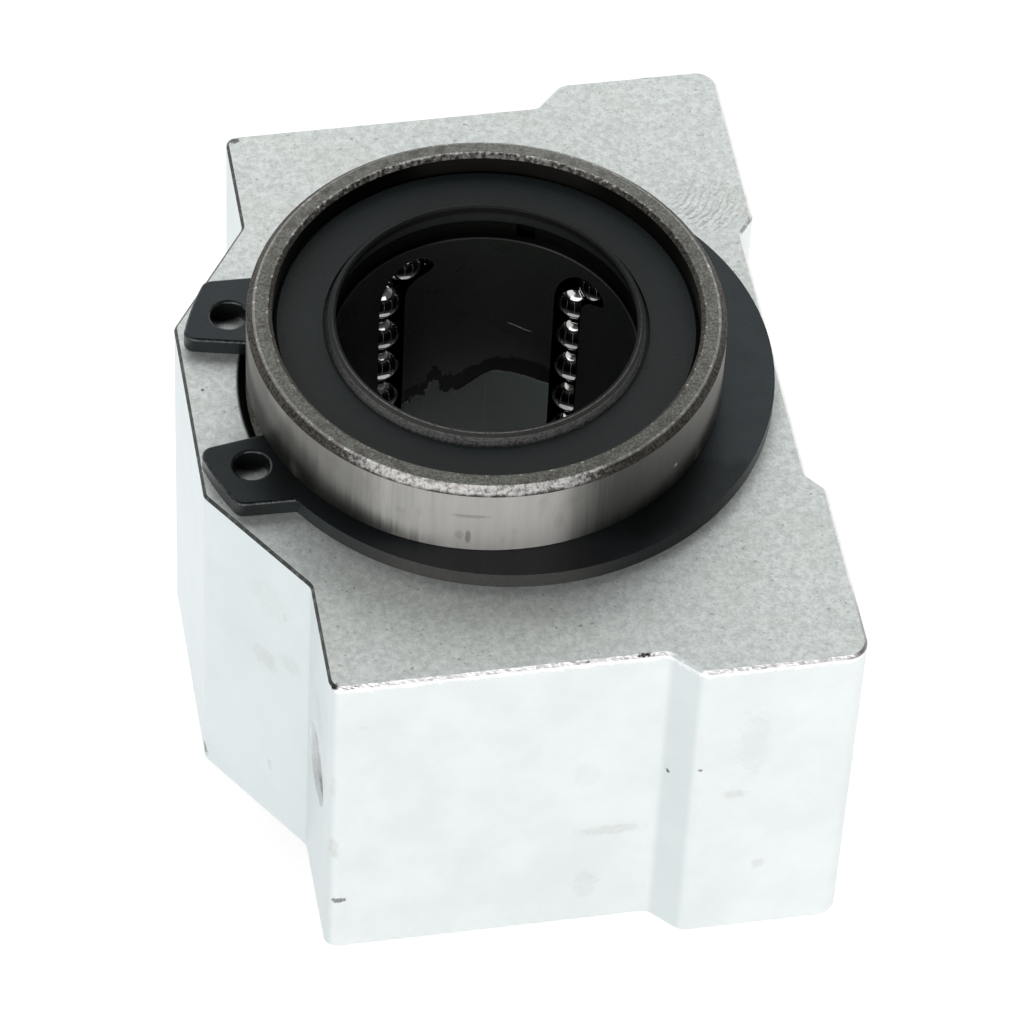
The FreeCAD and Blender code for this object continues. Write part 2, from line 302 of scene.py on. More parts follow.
# Marks on the block: centre, reach, strength.
NICKS = (
    ((-14.05, -24.8, END_FACE), (0.36, 0.36, 0.40), 1.0),
    ((6.5, -24.93, END_FACE), (0.60, 0.16, 0.16), 1.0),
    ((2.6, -24.95, END_FACE), (0.50, 0.12, 0.12), 0.9),
    ((16.1, 26.95, END_FACE), (0.55, 0.20, 0.20), 0.8),
    ((18.0, 26.95, END_FACE), (0.20, 0.18, 0.15), 0.8),
    ((-13.55, 24.5, END_FACE), (0.35, 0.25, 0.15), 0.7),
    ((-18.8, 1.7, END_FACE), (0.10, 0.10, 0.10), 0.9),
    ((-13.3, -BODY_SIDE, -8.7), (0.50, 0.25, 0.26), 0.65),
    ((-14.8, -24.6, -8.9), (0.30, 0.30, 0.35), 0.8),
    ((8.5, -25.4, 2.2), (0.12, 0.30, 0.22), 0.8),
    ((8.7, -25.4, -2.8), (0.10, 0.30, 0.12), 0.7),
    ((10.0, -25.6, -7.5), (0.14, 0.50, 0.14), 0.6),
    ((10.3, -FLANGE_SIDE, 3.8), (0.14, 0.30, 0.12), 0.6),
    ((-16.7, -12.2, -END_FACE), (0.50, 0.60, 0.16), 0.7),
    ((-20.0, -7.4, -12.9), (0.30, 0.50, 0.50), 0.6),
)
SMUDGES = (
    ((-15.5, -14.2, 8.6), (0.25, 0.25, 0.40), 0.5),
    ((-16.6, -12.6, 2.6), (1.0, 1.4, 1.0), 0.45),
    ((-15.2, -14.7, 4.2), (0.8, 1.1, 1.0), 0.30),
    ((-16.3, -13.0, 9.0), (1.6, 2.4, 1.8), 0.22),
    ((-16.3, -13.1, -8.4), (0.20, 0.30, 0.50), 0.5),
    ((-13.8, -BODY_SIDE, -2.9), (0.5, 0.5, 1.1), 0.50),
    ((-13.9, -BODY_SIDE, 3.6), (0.35, 0.4, 1.6), 0.30),
    ((-12.0, -BODY_SIDE, 9.7), (0.25, 0.3, 0.25), 0.25),
    ((5.0, -BODY_SIDE, -4.2), (2.2, 0.8, 0.5), 0.40),
    ((3.2, -BODY_SIDE, 2.1), (1.0, 0.8, 1.2), 0.16),
    ((3.6, -BODY_SIDE, -10.1), (0.9, 0.8, 1.6), 0.25),
    ((12.8, -FLANGE_SIDE, 0.9), (0.9, 0.8, 0.4), 0.40),
    ((13.8, -FLANGE_SIDE, 6.0), (1.0, 0.8, 3.5), 0.20),
    ((14.9, -FLANGE_SIDE, -7.1), (0.5, 0.5, 0.5), 0.35),
    ((10.1, -25.8, -10.6), (0.4, 0.8, 1.2), 0.35),
    ((WING_BACK, -20.6, 6.0), (0.5, 1.6, 1.8), 0.35),
)

# Painted shadows under the eyes of the circlip's lugs.
EYE_SHADOWS = ((-16.5, 8.43, END_FACE), (-16.5, -5.07, END_FACE))
EYE_SHADOW_REACH = (1.7, 1.0, 0.5)

# Coarse end-mill ripples near one corner of the end face.
RIPPLE_AXIS = (14.6, 16.2)
RIPPLE_SPOT = (18.3, 14.4, END_FACE)
RIPPLE_REACH = (2.6, 2.6, 2.0)
RIPPLE_RATE = 13.5          # radians per millimetre
RIPPLE_HEIGHT = 0.55


def sand_color(g, p, grain, fine, cloud):
    """Fine sand with specks, pits and a few brown stains."""
    blend = g.plus(grain, g.level(fine, -0.12, 0.12))
    color = g.mix(g.step(blend, 0.25, 0.75), SAND_DARK, SAND_LIGHT)
    specks = g.step(g.noise(p, 3.4, 1.0, 0.5), 0.70, 0.78)
    color = g.mix(g.times(specks, 0.5), color, SAND_SPECK)
    pits = g.step(g.noise(p, 2.0, 4.0, 0.8), 0.66, 0.74)
    color = g.mix(g.times(pits, 0.35), color, SAND_PIT)
    return g.mix(g.times(g.step(cloud, 0.52, 0.75), 0.20), color, SAND_STAIN)


def side_color(g, p, nx, ragged, cloud):
    """Bright drawn sides with painted shade on the faces towards the lugs, and grease
    smudges.
    """
    color = g.mix(g.step(cloud, 0.3, 0.7), SIDE_DARK, SIDE_LIGHT)
    lug_side_shade = g.mix(cloud, LUG_SIDE_SHADE_DARK, LUG_SIDE_SHADE_LIGHT)
    # painted shade: faces towards the lugs take the darker colours
    color = g.mix(g.step(nx, -0.3, -0.9), color, lug_side_shade)
    smudges = g.patches(p, SMUDGES, ragged)
    return g.mix(g.times(smudges, ragged, 0.8), color, SMUDGE_COLOR)


def edge_color(g, p, normal, ragged):
    """Deburred edges, lighter along the front as a painted highlight, with painted shade
    towards the lugs and a darker near right corner.
    """
    x, y, z = g.parts(p)
    nx = normal[X_AXIS]
    # painted shade on the edges towards the lugs
    shaded_edge = g.step(g.plus(nx, g.level(ragged, -0.12, 0.12)), -0.2, -0.45)
    broken = g.level(g.step(ragged, 0.35, 0.5), 0.85, 1.0)
    shaded_edge = g.times(shaded_edge, g.step(x, 0.0, -8.0), broken)
    height = g.plus(g.size(z), g.level(ragged, -0.10, 0.10))
    edge_shade = g.times(shaded_edge, g.step(height, END_FACE - 0.3, END_FACE - 0.2))
    near_corner = g.times(g.step(nx, 0.25, 0.5), g.step(y, -20.0, -24.0))
    edge_shade = g.either(edge_shade, g.times(near_corner, 0.6))
    # painted highlight on the rolled edges, painted shade on those towards the lugs
    rolled_lit_and_shaded = g.mix(g.step(nx, -0.2, -0.45), ROLLED_HIGHLIGHT_COLOR, ROLLED_SHADE_COLOR)
    return g.mix(edge_shade, rolled_lit_and_shaded, EDGE_SHADE_COLOR)


def front_burr_highlight(g, z, ny, ragged):
    """Mask of the ragged bright line under the front edge: a filed burr, painted white as a
    painted highlight.
    """
    height = g.plus(z, g.level(ragged, -0.6, 0.6))
    return g.times(g.step(ny, -0.6, -0.8), g.step(height, END_FACE - 0.65, END_FACE - 0.45))


def bore_shade(g, p, fine):
    """Mask of the painted shade in the bore's mouth and of the painted shadows under the
    lugs' eyes.
    """
    x, y = g.parts(p)[:2]
    # painted shade on the bore's chamfer round the sleeve
    mouth = g.step(g.span(x, y), SLEEVE_RADIUS + 0.75, SLEEVE_RADIUS + 0.52)
    ragged = g.level(fine, 0.42, 0.58)
    eyes = [g.patch(p, centre, EYE_SHADOW_REACH, ragged) for centre in EYE_SHADOWS]
    return g.either(mouth, *eyes)


def mill_ripples(g, p, ragged):
    """Height of the end-mill ripples."""
    x, y = g.parts(p)[:2]
    radius = g.span(g.minus(x, RIPPLE_AXIS[0]), g.minus(y, RIPPLE_AXIS[1]))
    wave = g.math("SINE", g.plus(
        g.times(radius, RIPPLE_RATE), g.level(ragged, -6.0, 6.0)))
    area = g.patch(p, RIPPLE_SPOT, RIPPLE_REACH, ragged)
    return g.times(wave, area, RIPPLE_HEIGHT)


def hole_thread(g, p):
    """Height of the thread in the mounting holes."""
    x, y, z = g.parts(p)
    from_axis = g.minus(g.size(y), HOLE_AXIS_Y)
    in_hole = g.step(g.span(from_axis, z), HOLE_RADIUS + 0.06, HOLE_RADIUS + 0.02)
    turn = g.times(g.math("ARCTAN2", z, from_axis), 0.5 / math.pi)
    advance = g.plus(g.times(x, 1.0 / THREAD_PITCH), turn)
    tooth = g.times(g.math("PINGPONG", advance, 0.5), 2.0)
    return g.times(tooth, in_hole, g.step(x, THREAD_START - 0.5, THREAD_START))


def rubbed_mouth(g, p):
    """Mask of the rubbed mouth of the mounting holes, on the lugs' side."""
    x, y, z = g.parts(p)
    radius = g.span(g.minus(g.size(y), HOLE_AXIS_Y), z)
    return g.times(
        g.step(radius, HOLE_RADIUS + 0.5, HOLE_RADIUS + 0.3),
        g.step(x, WING_BACK + 1.55, WING_BACK + 0.95),
        g.step(x, WING_BACK, WING_BACK + 0.15))


def aluminium():
    """Bare block: sandy milled end faces, smooth bright sides, deburred edges, with painted
    highlights and painted shade on edges and sides.
    """
    material, g = start_material("block_aluminium")
    p = g.place()
    normal = g.normal()
    z = g.parts(p)[Z_AXIS]
    up = g.size(normal[Z_AXIS])
    grain = g.noise(p, 2.4, 2.5, 0.7)
    fine = g.noise(p, 5.0, 1.0, 0.5)
    ragged = g.noise(p, 2.2, 4.0, 0.65)
    cloud = g.noise(p, 0.16, 4.0, 0.6)
    end_face = g.step(g.plus(up, g.level(ragged, -0.1, 0.1)), 0.90, 0.985)
    edge = g.times(g.step(up, 0.12, 0.3), g.step(up, 0.99, 0.9))
    nicks = g.patches(p, NICKS, fine)

    side = side_color(g, p, normal[X_AXIS], ragged, cloud)
    color = g.mix(end_face, side, sand_color(g, p, grain, fine, cloud))
    color = g.mix(edge, color, edge_color(g, p, normal, ragged))
    # painted highlight along the front edge
    color = g.mix(front_burr_highlight(g, z, normal[Y_AXIS], ragged), color, BURR_HIGHLIGHT_COLOR)
    color = g.mix(nicks, color, NICK_COLOR)
    # painted shade in the bore's mouth, painted shadows in the lugs' eyes
    color = g.mix(bore_shade(g, p, fine), color, BORE_SHADE_COLOR)

    sand = g.times(g.plus(grain, fine), g.level(end_face, 0.05, 0.38))
    relief = g.plus(sand, mill_ripples(g, p, ragged))
    relief = g.plus(relief, g.times(edge, ragged, 4.0))
    shape = g.bump(relief, 0.00003)
    shape = g.bump(g.times(nicks, -1.0), 0.00012, shape)
    shape = g.bump(hole_thread(g, p), 0.0005, shape)
    rough = g.plus(g.level(end_face, 0.40, 0.50), g.times(nicks, 0.2))
    bare = g.times(g.level(rubbed_mouth(g, p), 1.0, 0.2), g.level(end_face, 1.0, 0.7))
    end_material(g, g.principled(
        color=color, metallic=bare, roughness=rough, normal=shape))
    return material


# ---- the sleeve ----------------------------------------------------------------
GROUND_DARK = (0.44, 0.43, 0.41)
GROUND_LIGHT = (0.60, 0.585, 0.56)
GROUND_STAIN = (0.30, 0.27, 0.23)
# Painted shade on the sleeve's flanks, streaky, and by the circlip.
SLEEVE_FLANK_SHADE_COLOR = (0.08, 0.085, 0.074)
SLEEVE_CIRCLIP_SHADE_COLOR = (0.020, 0.022, 0.018)
SLEEVE_MARK_COLOR = (0.10, 0.085, 0.075)
SPECK_COLOR = (0.98, 0.98, 0.95)
RIM_DARK = (0.11, 0.116, 0.103)
RIM_LIGHT = (0.29, 0.30, 0.27)
RIM_FAR_HIGHLIGHT = (0.55, 0.55, 0.52)
RIM_STAIN = (0.10, 0.075, 0.06)
CHAMFER_DARK = (0.030, 0.027, 0.024)
CHAMFER_LIGHT = (0.13, 0.12, 0.105)
# Painted highlights and glints on the rim's corners.
CORNER_HIGHLIGHT_COLOR = (0.60, 0.60, 0.57)
GLINT_COLOR = (0.98, 0.95, 0.93)
MOUTH_SHADE_COLOR = (0.020, 0.019, 0.017)

# Scratches and a smear on the ground face: centre, reach, strength.
SLEEVE_MARKS = (
    ((-3.55, -15.60, 18.55), (1.50, 0.8, 0.16), 0.32),
    ((-3.74, -15.56, 16.50), (0.20, 0.6, 0.65), 0.50),
    ((-4.30, -15.40, 16.60), (0.30, 0.6, 0.45), 0.25),
    ((-7.90, -13.91, 18.00), (0.40, 0.6, 0.30), 0.12),
    ((2.20, -15.85, 17.60), (0.35, 0.6, 0.90), 0.15),
)
# One small bright speck on the ground face.
SPECK_AT = (10.73, -11.87, 17.2)
SPECK_REACH = (0.16, 0.16, 0.16)

# Radii of the chamfers' corners, where highlights are painted: low, high, fade.
OUTER_LIP = (15.42, 15.55, 0.06)
INNER_LIP = (14.5, 14.62, 0.05)
CORNER_LINE = (15.44, 15.56, 0.05)


def shaded_flanks(g, x, y, rise, streaks):
    """Masks of the painted shade on the sleeve's flanks, and of the painted shade by the
    circlip.
    """
    around = g.bearing(x, g.times(y, -1.0))
    around = g.plus(around, g.level(streaks, -9.0, 9.0))
    right = g.times(g.step(around, 8.0, 22.0), 0.80)
    left_edge = g.plus(g.times(around, -0.105), 12.6)
    left_depth = g.level(g.step(g.minus(rise, left_edge), 1.2, -1.0), 0.55, 1.0)
    left = g.times(g.step(around, -20.0, -42.0), left_depth)
    # both flanks meet behind, where the angle jumps
    off_front = g.size(around)
    behind = g.step(off_front, 120.0, 160.0)
    layer = g.times(g.either(right, left), g.level(behind, 1.0, 0.0))
    layer = g.plus(layer, g.times(behind, 0.80))
    # the painted shade by the circlip reaches higher up towards the flanks
    circlip_shade_edge = g.plus(g.times(off_front, 0.04), 14.7)
    circlip_shade = g.times(
        g.step(off_front, 14.0, 32.0), g.step(off_front, 115.0, 85.0),
        g.step(g.minus(rise, circlip_shade_edge), 1.1, -0.9))
    return layer, circlip_shade


def ground_color(g, p, rise, streaks, spark, stain):
    """The ground face: streaky bright steel with painted shade on its flanks and by the
    circlip, marks and one bright speck.
    """
    x, y = g.parts(p)[:2]
    layer, circlip_shade = shaded_flanks(g, x, y, rise, streaks)
    color = g.mix(streaks, GROUND_DARK, GROUND_LIGHT)
    # painted shade on the flanks and by the circlip
    color = g.mix(g.times(layer, 0.80), color, SLEEVE_FLANK_SHADE_COLOR)
    color = g.mix(g.times(circlip_shade, 0.80), color, SLEEVE_CIRCLIP_SHADE_COLOR)
    for centre, reach, strength in SLEEVE_MARKS:
        mark = g.patch(p, centre, reach, g.level(spark, 0.15, 0.85), strength)
        color = g.mix(mark, color, SLEEVE_MARK_COLOR)
    color = g.mix(g.patch(p, SPECK_AT, SPECK_REACH, 0.5), color, SPECK_COLOR)
    return g.mix(g.times(stain, 0.30), color, GROUND_STAIN)


def rim_color(g, y, grit, blotch):
    """The coarse end rim, with a painted highlight on the far side, and brown stains."""
    color = g.mix(g.step(grit, 0.35, 0.65), RIM_DARK, RIM_LIGHT)
    # painted highlight on the far side of the rim
    color = g.mix(g.times(g.step(y, 4.0, 14.5), 0.25), color, RIM_FAR_HIGHLIGHT)
    return g.mix(g.times(g.step(blotch, 0.45, 0.65), 0.5), color, RIM_STAIN)


def corner_glints(g, x, y, radius, rise, up, slope, blotch, spark):
    """Masks of the chamfers' thin corner line, a painted highlight, and of the painted
    glints on its front and far stretches.
    """
    inside = g.step(radius, SLEEVE_RADIUS - 0.9, SLEEVE_RADIUS - 1.1)
    front = g.times(g.step(y, -8.0, -13.5), g.band(x, -9.0, 2.0, 5.0))
    front = g.times(front, g.step(radius, SLEEVE_RADIUS - 0.8, SLEEVE_RADIUS - 0.4))
    far = g.times(g.step(y, 4.0, 14.5), inside, 0.45)
    # stretches where glints are painted
    brightened = g.either(front, far)
    glint = g.step(spark, g.level(brightened, 0.55, 0.22), g.level(brightened, 0.75, 0.62))
    height = g.plus(rise, g.level(blotch, -0.2, 0.2))
    lips = g.either(
        g.band(radius, *OUTER_LIP), g.band(radius, *INNER_LIP),
        g.times(slope, brightened, g.step(height, SLEEVE_END - 0.5, SLEEVE_END - 0.32)))
    at_end = g.step(rise, SLEEVE_END - 0.7, SLEEVE_END - 0.55)
    lips = g.times(lips, g.step(up, 0.3, 0.5), at_end)
    corner = g.times(g.band(radius, *CORNER_LINE), at_end)
    return g.times(corner, g.level(spark, 0.1, 0.7)), g.times(lips, glint)


def sleeve_steel():
    """Ground outside with painted shade on its flanks, coarse dark end rim with painted
    glints on its edges, painted shade inside.
    """
    material, g = start_material("sleeve_steel")
    p = g.place()
    x, y, z = g.parts(p)
    radius = g.span(x, y)
    up = g.uprightness()
    rise = g.size(z)
    grit = g.noise(p, 5.0, 4.0, 0.75)
    spark = g.noise(p, 3.4, 3.0, 0.7)
    blotch = g.noise(p, 1.1, 4.0, 0.65)
    streaks = g.noise(g.stretch(p, (2.2, 2.2, 0.12)), 1.0, 4.0, 0.6)
    rings = g.noise(g.join(g.times(radius, 3.0), 0.0, g.times(z, 14.0)), 1.0, 3.0, 0.6)
    stain = g.step(g.noise(g.stretch(p, (0.6, 0.6, 0.3)), 1.0, 2.0, 0.5), 0.58, 0.78)
    flat = g.step(up, 0.90, 0.98)
    slope = g.times(g.step(up, 0.3, 0.5), g.step(up, 0.98, 0.90))
    mouth = g.step(radius, SLEEVE_MOUTH_RADIUS + 0.1, SLEEVE_MOUTH_RADIUS + 0.02)

    ground = ground_color(g, p, rise, streaks, spark, stain)
    color = g.mix(flat, ground, rim_color(g, y, grit, blotch))
    chamfer = g.mix(g.step(grit, 0.35, 0.65), CHAMFER_DARK, CHAMFER_LIGHT)
    color = g.mix(slope, color, chamfer)
    corner, glint = corner_glints(g, x, y, radius, rise, up, slope, blotch, spark)
    # painted highlight on the corner line, painted glints on the chamfers
    color = g.mix(corner, color, CORNER_HIGHLIGHT_COLOR)
    color = g.mix(glint, color, GLINT_COLOR)
    # painted shade on the inner wall of the mouth
    color = g.mix(g.times(mouth, g.step(up, 0.5, 0.3)), color, MOUTH_SHADE_COLOR)

    coarse = g.either(flat, slope)
    rough = g.plus(g.level(coarse, 0.38, 0.42), g.times(stain, 0.1))
    shape = g.bump(g.times(grit, coarse), 0.00010)
    shape = g.bump(rings, 0.000004, shape)
    tangent = g.add("ShaderNodeTangent", direction_type="RADIAL", axis="Z").outputs[0]
    end_material(g, g.principled(
        color=color, metallic=1.0, roughness=rough, normal=shape,
        tangent=tangent, anisotropy=1.0, grain_turn=0.25))
    return material


# ---- the ball cage -------------------------------------------------------------
RESIN_DARK = (0.012, 0.014, 0.0125)
RESIN_LIGHT = (0.020, 0.023, 0.020)
# Painted shade on the lead-in and above the grease.
SHADED_RESIN = (0.002, 0.002, 0.002)
GREASE_COLOR = (0.68, 0.80, 0.79)
# Seam and hair lines, and a painted highlight along the grease's upper edge.
GREASE_LINE_AND_HIGHLIGHT_COLOR = (0.90, 0.98, 0.97)
GREASED_LAND = 78.0         # angle of the land's middle, from +X towards +Y
HAIR_LEVEL = 8.45


def grease_top(g, angle, ragged, swirl):
    """Height of the film's edge: level, falling to a dip, then ragged with one spike."""
    top = g.level(g.step(angle, 73.0, 90.0), 3.9, 1.85)
    spike = g.step(g.size(g.minus(angle, 98.7)), 4.5, 0.5)
    top = g.plus(top, g.times(spike, 1.3))
    top = g.plus(top, g.times(g.level(ragged, -1.7, 1.7), g.step(angle, 84.0, 97.0)))
    return g.plus(top, g.level(swirl, -0.3, 0.3))


def cage_resin():
    """Near-black moulded resin; a film of grease lies on one land of the bore."""
    material, g = start_material("cage_resin")
    p = g.place()
    x, y, z = g.parts(p)
    radius = g.span(x, y)
    angle = g.bearing(y, x)
    fine = g.noise(p, 1.6, 3.0, 0.6)
    swirl = g.noise(p, 0.35, 3.0, 0.6, 0.5)
    ragged = g.noise(g.join(g.times(angle, 0.3), z, 0.0), 1.3, 3.0, 0.6)
    land = g.times(
        g.step(radius, CAGE_BORE_RADIUS + 0.15, CAGE_BORE_RADIUS + 0.05),
        g.step(g.size(g.minus(angle, GREASED_LAND)), 36.0, 31.0))

    # the film, a painted highlight along its upper edge, a seam in it, and a painted shade
    # above it
    depth = g.minus(grease_top(g, angle, ragged, swirl), z)
    layer = g.times(g.step(depth, 0.0, 0.12), land)
    rim = g.times(layer, g.step(depth, 0.38, 0.12))
    seam_angle = g.plus(angle, g.times(swirl, 3.0))
    seam = g.times(layer, g.band(seam_angle, GREASED_LAND + 0.9, GREASED_LAND + 1.3, 0.4))
    margin = g.step(g.plus(depth, g.level(swirl, 0.4, 2.0)), -0.25, 0.05)
    margin = g.minus(g.times(margin, land), layer)

    # a hair further up
    hair_edge = g.plus(HAIR_LEVEL, g.times(g.step(angle, 61.0, 72.0), 0.4))
    hair = g.step(g.size(g.minus(z, hair_edge)), 0.09, 0.03)
    hair = g.times(hair, g.band(angle, 62.0, 69.0, 2.0), land)

    color = g.mix(fine, RESIN_DARK, RESIN_LIGHT)
    color = g.mix(layer, color, GREASE_COLOR)
    lines = g.either(rim, g.times(seam, 0.4), g.times(hair, 0.6))
    color = g.mix(lines, color, GREASE_LINE_AND_HIGHLIGHT_COLOR)
    # painted shade on the lead-in
    lead_in = g.step(radius, CAGE_BORE_RADIUS + 0.02, CAGE_BORE_RADIUS + 0.10)
    shaded = g.either(lead_in, g.times(margin, 0.85))
    color = g.mix(shaded, color, SHADED_RESIN)
    shape = g.bump(g.plus(g.times(fine, 0.06), layer), 0.00004)
    # black metal reflects next to nothing, which keeps the painted shade dark
    end_material(g, g.principled(
        color=color, metallic=shaded, roughness=g.level(swirl, 0.22, 0.36),
        normal=shape, specular=0.4))
    return material


# ---- the balls -----------------------------------------------------------------
BALL_DARK = (0.52, 0.52, 0.52)
BALL_LIGHT = (0.68, 0.68, 0.69)
BALL_OIL_COLOR = (0.30, 0.29, 0.26)


def ball_steel():
    """Polished balls under a little grease."""
    material, g = start_material("ball_steel")
    p = g.place()
    smear = g.noise(p, 0.9, 2.0, 0.5)
    oil = g.step(g.noise(p, 0.5, 3.0, 0.6), 0.40, 0.6)
    color = g.mix(smear, BALL_DARK, BALL_LIGHT)
    color = g.mix(g.times(oil, 0.5), color, BALL_OIL_COLOR)
    end_material(g, g.principled(
        color=color, metallic=1.0, roughness=g.level(smear, 0.03, 0.10)))
    return material


# ---- the seals -----------------------------------------------------------------
RUBBER_DARK = (0.009, 0.0133, 0.0135)
RUBBER_LIGHT = (0.015, 0.0215, 0.0218)
# Painted sheen and highlight lines on the front of the lip, painted shade in the bore.
LIP_SHEEN_COLOR = (0.070, 0.066, 0.061)
LIP_HIGHLIGHT_COLOR = (0.24, 0.24, 0.235)
SEAL_BORE_SHADE_COLOR = (0.004, 0.004, 0.004)
LIP_HIGHLIGHTS = ((10.27, 10.31, 0.02), (10.56, 10.61, 0.03))     # radii: low, high, fade


def seal_rubber():
    """Charcoal rubber with a fine moulded grain; the lip has a painted sheen and painted
    highlight lines at the front, the bore painted shade.
    """
    material, g = start_material("seal_rubber")
    p = g.place()
    x, y = g.parts(p)[:2]
    radius = g.span(x, y)
    grain = g.noise(p, 5.0, 4.0, 0.7)
    cloud = g.noise(p, 0.25, 3.0, 0.55)
    color = g.mix(cloud, RUBBER_DARK, RUBBER_LIGHT)
    lip = g.step(radius, LIP_RADIUS + 0.05, LIP_RADIUS - 0.07)
    # painted sheen on the front of the lip
    lip_sheen = g.level(g.noise(p, 0.9, 4.0, 0.6), 0.3, 1.0)
    lip_sheen = g.times(lip, lip_sheen, g.step(y, 2.0, -8.0))
    color = g.mix(lip_sheen, color, LIP_SHEEN_COLOR)
    # painted highlight lines along the lip's edges, at the front
    lines = g.either(*[g.band(radius, *line) for line in LIP_HIGHLIGHTS])
    lines = g.times(lines, g.step(y, 4.0, -8.0), g.step(grain, 0.25, 0.6))
    color = g.mix(lines, color, LIP_HIGHLIGHT_COLOR)
    # painted shade on the seal's bore
    bore = g.step(radius, LIP_RADIUS - 0.32, LIP_RADIUS - 0.45)
    color = g.mix(bore, color, SEAL_BORE_SHADE_COLOR)
    end_material(g, g.principled(
        color=color, roughness=g.level(grain, 0.46, 0.60), specular=0.26,
        normal=g.bump(grain, 0.00004)))
    return material


# ---- the circlips --------------------------------------------------------------
PHOSPHATE_DARK = (0.020, 0.025, 0.028)
PHOSPHATE_LIGHT = (0.034, 0.042, 0.045)
CLIP_DARK_COLOR = (0.007, 0.009, 0.009)
CLIP_FRONT_DARK = (0.012, 0.012, 0.014)
CLIP_FRONT_LIGHT = (0.026, 0.026, 0.030)
CUT_DARK = (0.05, 0.048, 0.042)
CUT_LIGHT = (0.17, 0.16, 0.145)
FLECK_COLOR = (0.20, 0.18, 0.16)
CLIP_WORN_COLOR = (0.16, 0.165, 0.165)

# Painted shade on the near right part of the ring, by the sleeve, and a darker patch on the
# near lug: centre, reach, strength.
CLIP_DARK_PATCHES = (
    ((-18.0, -7.2, CIRCLIP_LEVEL), (5.0, 4.0, 3.0), 0.45),
    ((11.6, -13.4, CIRCLIP_LEVEL), (5.5, 4.0, 3.0), 0.60),
)
CLIP_FRONT = (-2.5, -18.0, CIRCLIP_LEVEL)
CLIP_FRONT_REACH = (9.5, 4.2, 4.0)


def circlip_steel():
    """Phosphated spring steel with an oily blue-black sheen, duller at the front, with
    painted shade by the sleeve and painted light on the front of the cut wall.
    """
    material, g = start_material("circlip_steel")
    p = g.place()
    x, y = g.parts(p)[:2]
    up = g.uprightness()
    grain = g.noise(p, 4.0, 4.0, 0.65)
    cloud = g.noise(p, 0.4, 3.0, 0.5)
    fleck = g.step(g.noise(p, 2.6, 4.0, 0.75), 0.66, 0.74)
    color = g.mix(cloud, PHOSPHATE_DARK, PHOSPHATE_LIGHT)
    # painted shade by the sleeve, and a darker patch on the lug
    color = g.mix(g.patches(p, CLIP_DARK_PATCHES, cloud), color, CLIP_DARK_COLOR)
    front = g.patch(p, CLIP_FRONT, CLIP_FRONT_REACH, g.level(cloud, 0.3, 0.7))
    color = g.mix(front, color, g.mix(grain, CLIP_FRONT_DARK, CLIP_FRONT_LIGHT))

    # painted light: the cut wall is lighter at the front
    lit_front = g.times(g.step(y, -11.0, -15.5), g.step(x, 7.0, 1.0))
    cut = g.times(g.step(up, 0.4, 0.15), g.level(lit_front, 0.6, 2.6))
    color = g.mix(g.times(cut, 0.18), color, g.mix(grain, CUT_DARK, CUT_LIGHT))
    color = g.mix(g.times(fleck, 0.25), color, FLECK_COLOR)
    brightened = g.times(g.band(up, 0.35, 0.88, 0.08), g.step(grain, 0.35, 0.65))
    color = g.mix(g.times(brightened, 0.5), color, CLIP_WORN_COLOR)
    end_material(g, g.principled(
        color=color, metallic=g.level(front, 0.75, 0.30),
        roughness=g.level(grain, 0.27, 0.36), normal=g.bump(grain, 0.000008)))
    return material


# ---- the end rings -------------------------------------------------------------
OXIDE_DARK = (0.010, 0.010, 0.009)
OXIDE_LIGHT = (0.022, 0.022, 0.020)
OXIDE_WORN = (0.10, 0.10, 0.095)


def ring_steel():
    """Black oxide on a stamped ring."""
    material, g = start_material("ring_steel")
    p = g.place()
    grain = g.noise(p, 3.0, 4.0, 0.65)
    color = g.mix(grain, OXIDE_DARK, OXIDE_LIGHT)
    brightened = g.times(g.band(g.uprightness(), 0.2, 0.9, 0.1), g.step(grain, 0.45, 0.6))
    color = g.mix(brightened, color, OXIDE_WORN)
    end_material(g, g.principled(
        color=color, metallic=0.9, roughness=g.level(grain, 0.35, 0.5),
        normal=g.bump(grain, 0.00002)))
    return material


# ---- surroundings --------------------------------------------------------------
WHITE = (1.0, 1.0, 1.0)
FLOOR_COLOR = (0.8, 0.8, 0.8)
FLOOR_SIZE = 1.2
FLOOR_GLOW = 0.64
FLOOR_GAP = 0.02 * MM       # keeps the floor clear of the sleeve's end face

SKY_BASE = 0.12
SKY_TOP = 0.03              # the dark middle, straight above
SKY_DIMS = (45.0, 62.0)     # elevations between which the base falls to the top, in degrees
# Soft boxes round the sky, in degrees: middle azimuth from +X towards +Y, half width,
# side fade, lower edge, upper edge, edge fade, brightness.
SOFT_BOXES = (
    (86, 46, 22, 10, 47, 12, 1.50),
    (190, 25, 20, 32, 54, 8, 1.00),
    (254, 39, 4, 0, 33, 9, 2.00),
    (358, 10, 20, 30, 50, 10, 0.20),
)


def white_floor():
    """Pale floor that shows white where it is lit, and keeps the shadow."""
    material, g = start_material("floor")
    diffuse = g.add("ShaderNodeBsdfDiffuse")
    g.put(diffuse.inputs["Color"], FLOOR_COLOR)
    glow = g.add("ShaderNodeEmission")
    g.put(glow.inputs["Color"], WHITE)
    rays = g.add("ShaderNodeLightPath")
    seen = g.plus(rays.outputs["Is Camera Ray"], rays.outputs["Is Glossy Ray"])
    seen = g.math("ADD", seen, rays.outputs["Is Transmission Ray"], clamp=True)
    g.put(glow.inputs["Strength"], g.times(seen, FLOOR_GLOW))
    both = g.add("ShaderNodeAddShader")
    g.put(both.inputs[0], diffuse.outputs[0])
    g.put(both.inputs[1], glow.outputs[0])
    # nothing of the floor shows from underneath
    sides = g.add("ShaderNodeMixShader")
    g.put(sides.inputs[0], g.add("ShaderNodeNewGeometry").outputs["Backfacing"])
    g.put(sides.inputs[1], both.outputs[0])
    g.put(sides.inputs[2], g.add("ShaderNodeBsdfTransparent").outputs[0])
    end_material(g, sides.outputs[0])
    return material


